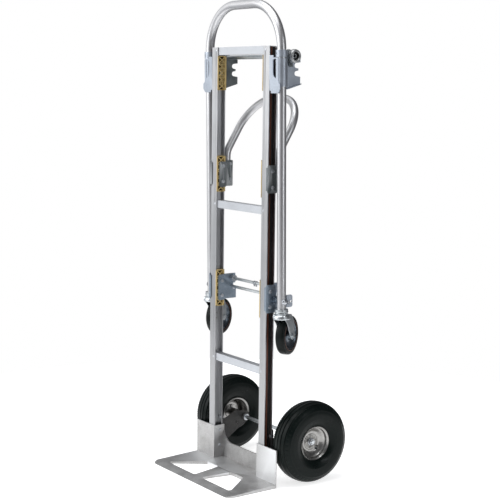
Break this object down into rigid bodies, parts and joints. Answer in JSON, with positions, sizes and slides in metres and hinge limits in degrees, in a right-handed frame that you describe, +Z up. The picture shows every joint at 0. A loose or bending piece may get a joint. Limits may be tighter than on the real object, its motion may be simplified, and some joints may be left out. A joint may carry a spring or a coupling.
{
  "type": "convertible hand truck",
  "caption": "Upright convertible hand truck: aluminium I-section frame, cast nose plate, large wheels, and a sliding, folding loop handle that carries swivel casters.",
  "frame": {"origin": "on the floor, midway between the two side rails, under their webs' middle line", "axes": "+Z up, -Y to the front (the nose plate's blade points that way), +X to the right as seen from the front"},
  "size_m": [0.531, 0.46, 1.5503],
  "materials": {
    "rail_aluminium": "mill-finish extrusion with fine lengthwise lines",
    "tube_aluminium": "polished drawn tube",
    "cast_aluminium": "sand-cast, fine grain",
    "zinc_fixings": "zinc-plated",
    "zinc_plate": "zinc-plated sheet, satin",
    "dark_plate": "dark zinc-plated sheet",
    "bright_zinc": "bright zinc plate",
    "cast_eye": "rough casting, dark zinc",
    "black_paint": "satin black",
    "nylon_block": "moulded nylon, golden",
    "tyre_rubber": "black rubber",
    "caster_rubber": "black rubber",
    "rim_paint": "silver-grey paint",
    "caster_centre": "blue-grey"
  },
  "bodies": {
    "frame": {"side_rail_left": "rail_aluminium", "side_rail_right": "rail_aluminium", "crossbar_lower": "rail_aluminium", "crossbar_middle": "rail_aluminium", "crossbar_top": "rail_aluminium", "crossbar_rivets": "zinc_fixings", "nose_plate": "cast_aluminium", "nose_bolts": "zinc_fixings", "axle_bracket_left": "black_paint", "axle_bracket_right": "black_paint", "back_bolts": "zinc_fixings", "axle": "bright_zinc", "axle_nuts": "zinc_fixings", "hook_plate_left": "dark_plate", "hook_plate_right": "zinc_plate", "guide_blocks_top": "nylon_block", "guide_block_screws": "zinc_fixings"},
    "wheel_left": {"tyre_left": "tyre_rubber", "rim_left": "rim_paint", "hub_left": "rim_paint", "hub_bolts_left": "zinc_fixings", "valve_left": "bright_zinc"},
    "wheel_right": {"tyre_right": "tyre_rubber", "rim_right": "rim_paint", "hub_right": "rim_paint", "hub_bolts_right": "zinc_fixings", "valve_right": "bright_zinc"},
    "latch": {"latch_bar": "bright_zinc", "latch_eye": "cast_eye", "latch_strap": "bright_zinc", "latch_links": "dark_plate"},
    "carriage": {"guide_blocks_lower": "nylon_block", "carriage_bracket_left": "zinc_plate", "carriage_bracket_right": "zinc_plate", "carriage_bolts": "zinc_fixings", "tie_rods": "bright_zinc", "rod_collars": "zinc_fixings", "pivot_bolts": "bright_zinc"},
    "handle": {"handle_tube": "tube_aluminium", "sleeve_bracket_left": "zinc_plate", "sleeve_bracket_right": "zinc_plate", "handle_collars": "zinc_plate", "collar_screws": "zinc_fixings", "tube_lugs": "zinc_plate", "lug_bolts": "zinc_fixings", "caster_seats": "bright_zinc"},
    "caster_swivel_left": {"caster_fork_left": "bright_zinc", "caster_axle_left": "bright_zinc"},
    "caster_wheel_left": {"caster_tread_left": "caster_rubber", "caster_hub_left": "caster_centre"},
    "caster_swivel_right": {"caster_fork_right": "bright_zinc", "caster_axle_right": "bright_zinc"},
    "caster_wheel_right": {"caster_tread_right": "caster_rubber", "caster_hub_right": "caster_centre"},
    "brace": {"guide_blocks_middle": "nylon_block", "brace_bracket_left": "dark_plate", "brace_bracket_right": "dark_plate", "brace_bolts": "zinc_fixings", "brace_loop": "tube_aluminium"}
  },
  "joints": [
    {"name": "wheel_left_spin", "type": "hinge", "parent": "frame", "child": "wheel_left", "pos_m": [-0.223, 0.121, 0.133], "axis": [1, 0, 0], "continuous": true},
    {"name": "wheel_right_spin", "type": "hinge", "parent": "frame", "child": "wheel_right", "pos_m": [0.223, 0.121, 0.133], "axis": [1, 0, 0], "continuous": true},
    {"name": "latch_turn", "type": "hinge", "parent": "frame", "child": "latch", "pos_m": [0, 0.046, 1.371], "axis": [-1, 0, 0], "range_deg": [0, 40]},
    {"name": "carriage_slide", "type": "slide", "parent": "frame", "child": "carriage", "axis": [0, 0, 1], "range_m": [0, 0.205]},
    {"name": "handle_fold", "type": "hinge", "parent": "carriage", "child": "handle", "pos_m": [0, 0.0157, 0.601], "axis": [1, 0, 0], "range_deg": [0, 90]},
    {"name": "caster_left_swivel", "type": "hinge", "parent": "handle", "child": "caster_swivel_left", "pos_m": [-0.198, 0.0157, 0.601], "axis": [0, -0.0183, 0.9998], "range_deg": [-70, 170]},
    {"name": "caster_left_spin", "type": "hinge", "parent": "caster_swivel_left", "child": "caster_wheel_left", "pos_m": [-0.21448, 0.05863, 0.48477], "axis": [0.9272, 0.3745, 0.0069], "continuous": true},
    {"name": "caster_right_swivel", "type": "hinge", "parent": "handle", "child": "caster_swivel_right", "pos_m": [0.198, 0.0157, 0.601], "axis": [0, -0.0183, 0.9998], "range_deg": [-220, 20]},
    {"name": "caster_right_spin", "type": "hinge", "parent": "caster_swivel_right", "child": "caster_wheel_right", "pos_m": [0.17667, 0.05632, 0.48473], "axis": [0.8746, 0.4847, 0.0089], "continuous": true},
    {"name": "brace_slide", "type": "slide", "parent": "frame", "child": "brace", "axis": [0, 0, 1], "range_m": [0, 0.2]}
  ]
}
